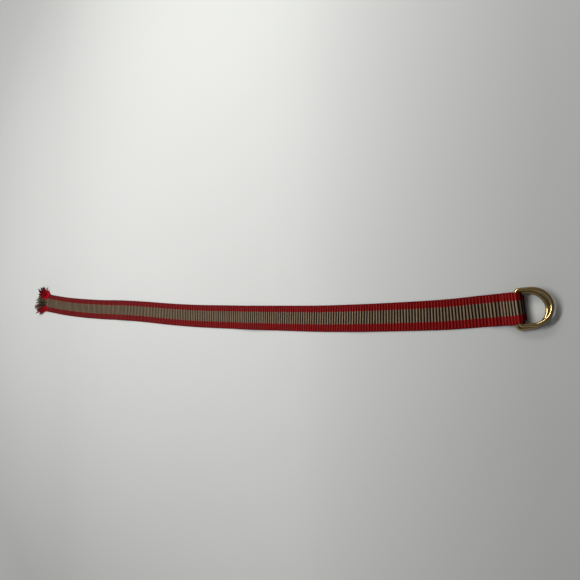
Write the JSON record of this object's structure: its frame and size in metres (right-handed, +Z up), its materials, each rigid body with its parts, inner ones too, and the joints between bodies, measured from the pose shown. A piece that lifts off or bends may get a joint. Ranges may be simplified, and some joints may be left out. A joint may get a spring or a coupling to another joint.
{
  "type": "d-ring belt",
  "caption": "Woven ribbed waist belt laid out flat, folded round a pair of swinging metal D-rings that grip its threaded tail; the other end is frayed into a fringe",
  "frame": {"origin": "middle of the belt's box, on the surface it lies on", "axes": "+X from the frayed tail to the rings, +Y across the belt towards the upper edge in the picture, +Z up off the table"},
  "size_m": [1.3017, 0.0942, 0.0205],
  "materials": {
    "strap_webbing": "corded weave, matte, red with an olive-taupe band along the middle",
    "fringe_yarn": "loose yarn, matte",
    "ring_brass": "polished"
  },
  "bodies": {
    "belt": {"strap": "strap_webbing", "strap_loop": "strap_webbing", "tail_fringe": "fringe_yarn"},
    "upper_ring": {"d_ring_upper": "ring_brass"},
    "lower_ring": {"d_ring_lower": "ring_brass"}
  },
  "joints": [
    {"name": "upper_ring_hinge", "type": "hinge", "parent": "belt", "child": "upper_ring", "pos_m": [0.60334, 0.0093, 0.01166], "axis": [0.1214, -0.9926, 0], "range_deg": [0, 135]},
    {"name": "lower_ring_hinge", "type": "hinge", "parent": "belt", "child": "lower_ring", "pos_m": [0.5982, 0.00354, 0.00545], "axis": [0.199, -0.98, 0], "range_deg": [-130, 0]}
  ]
}
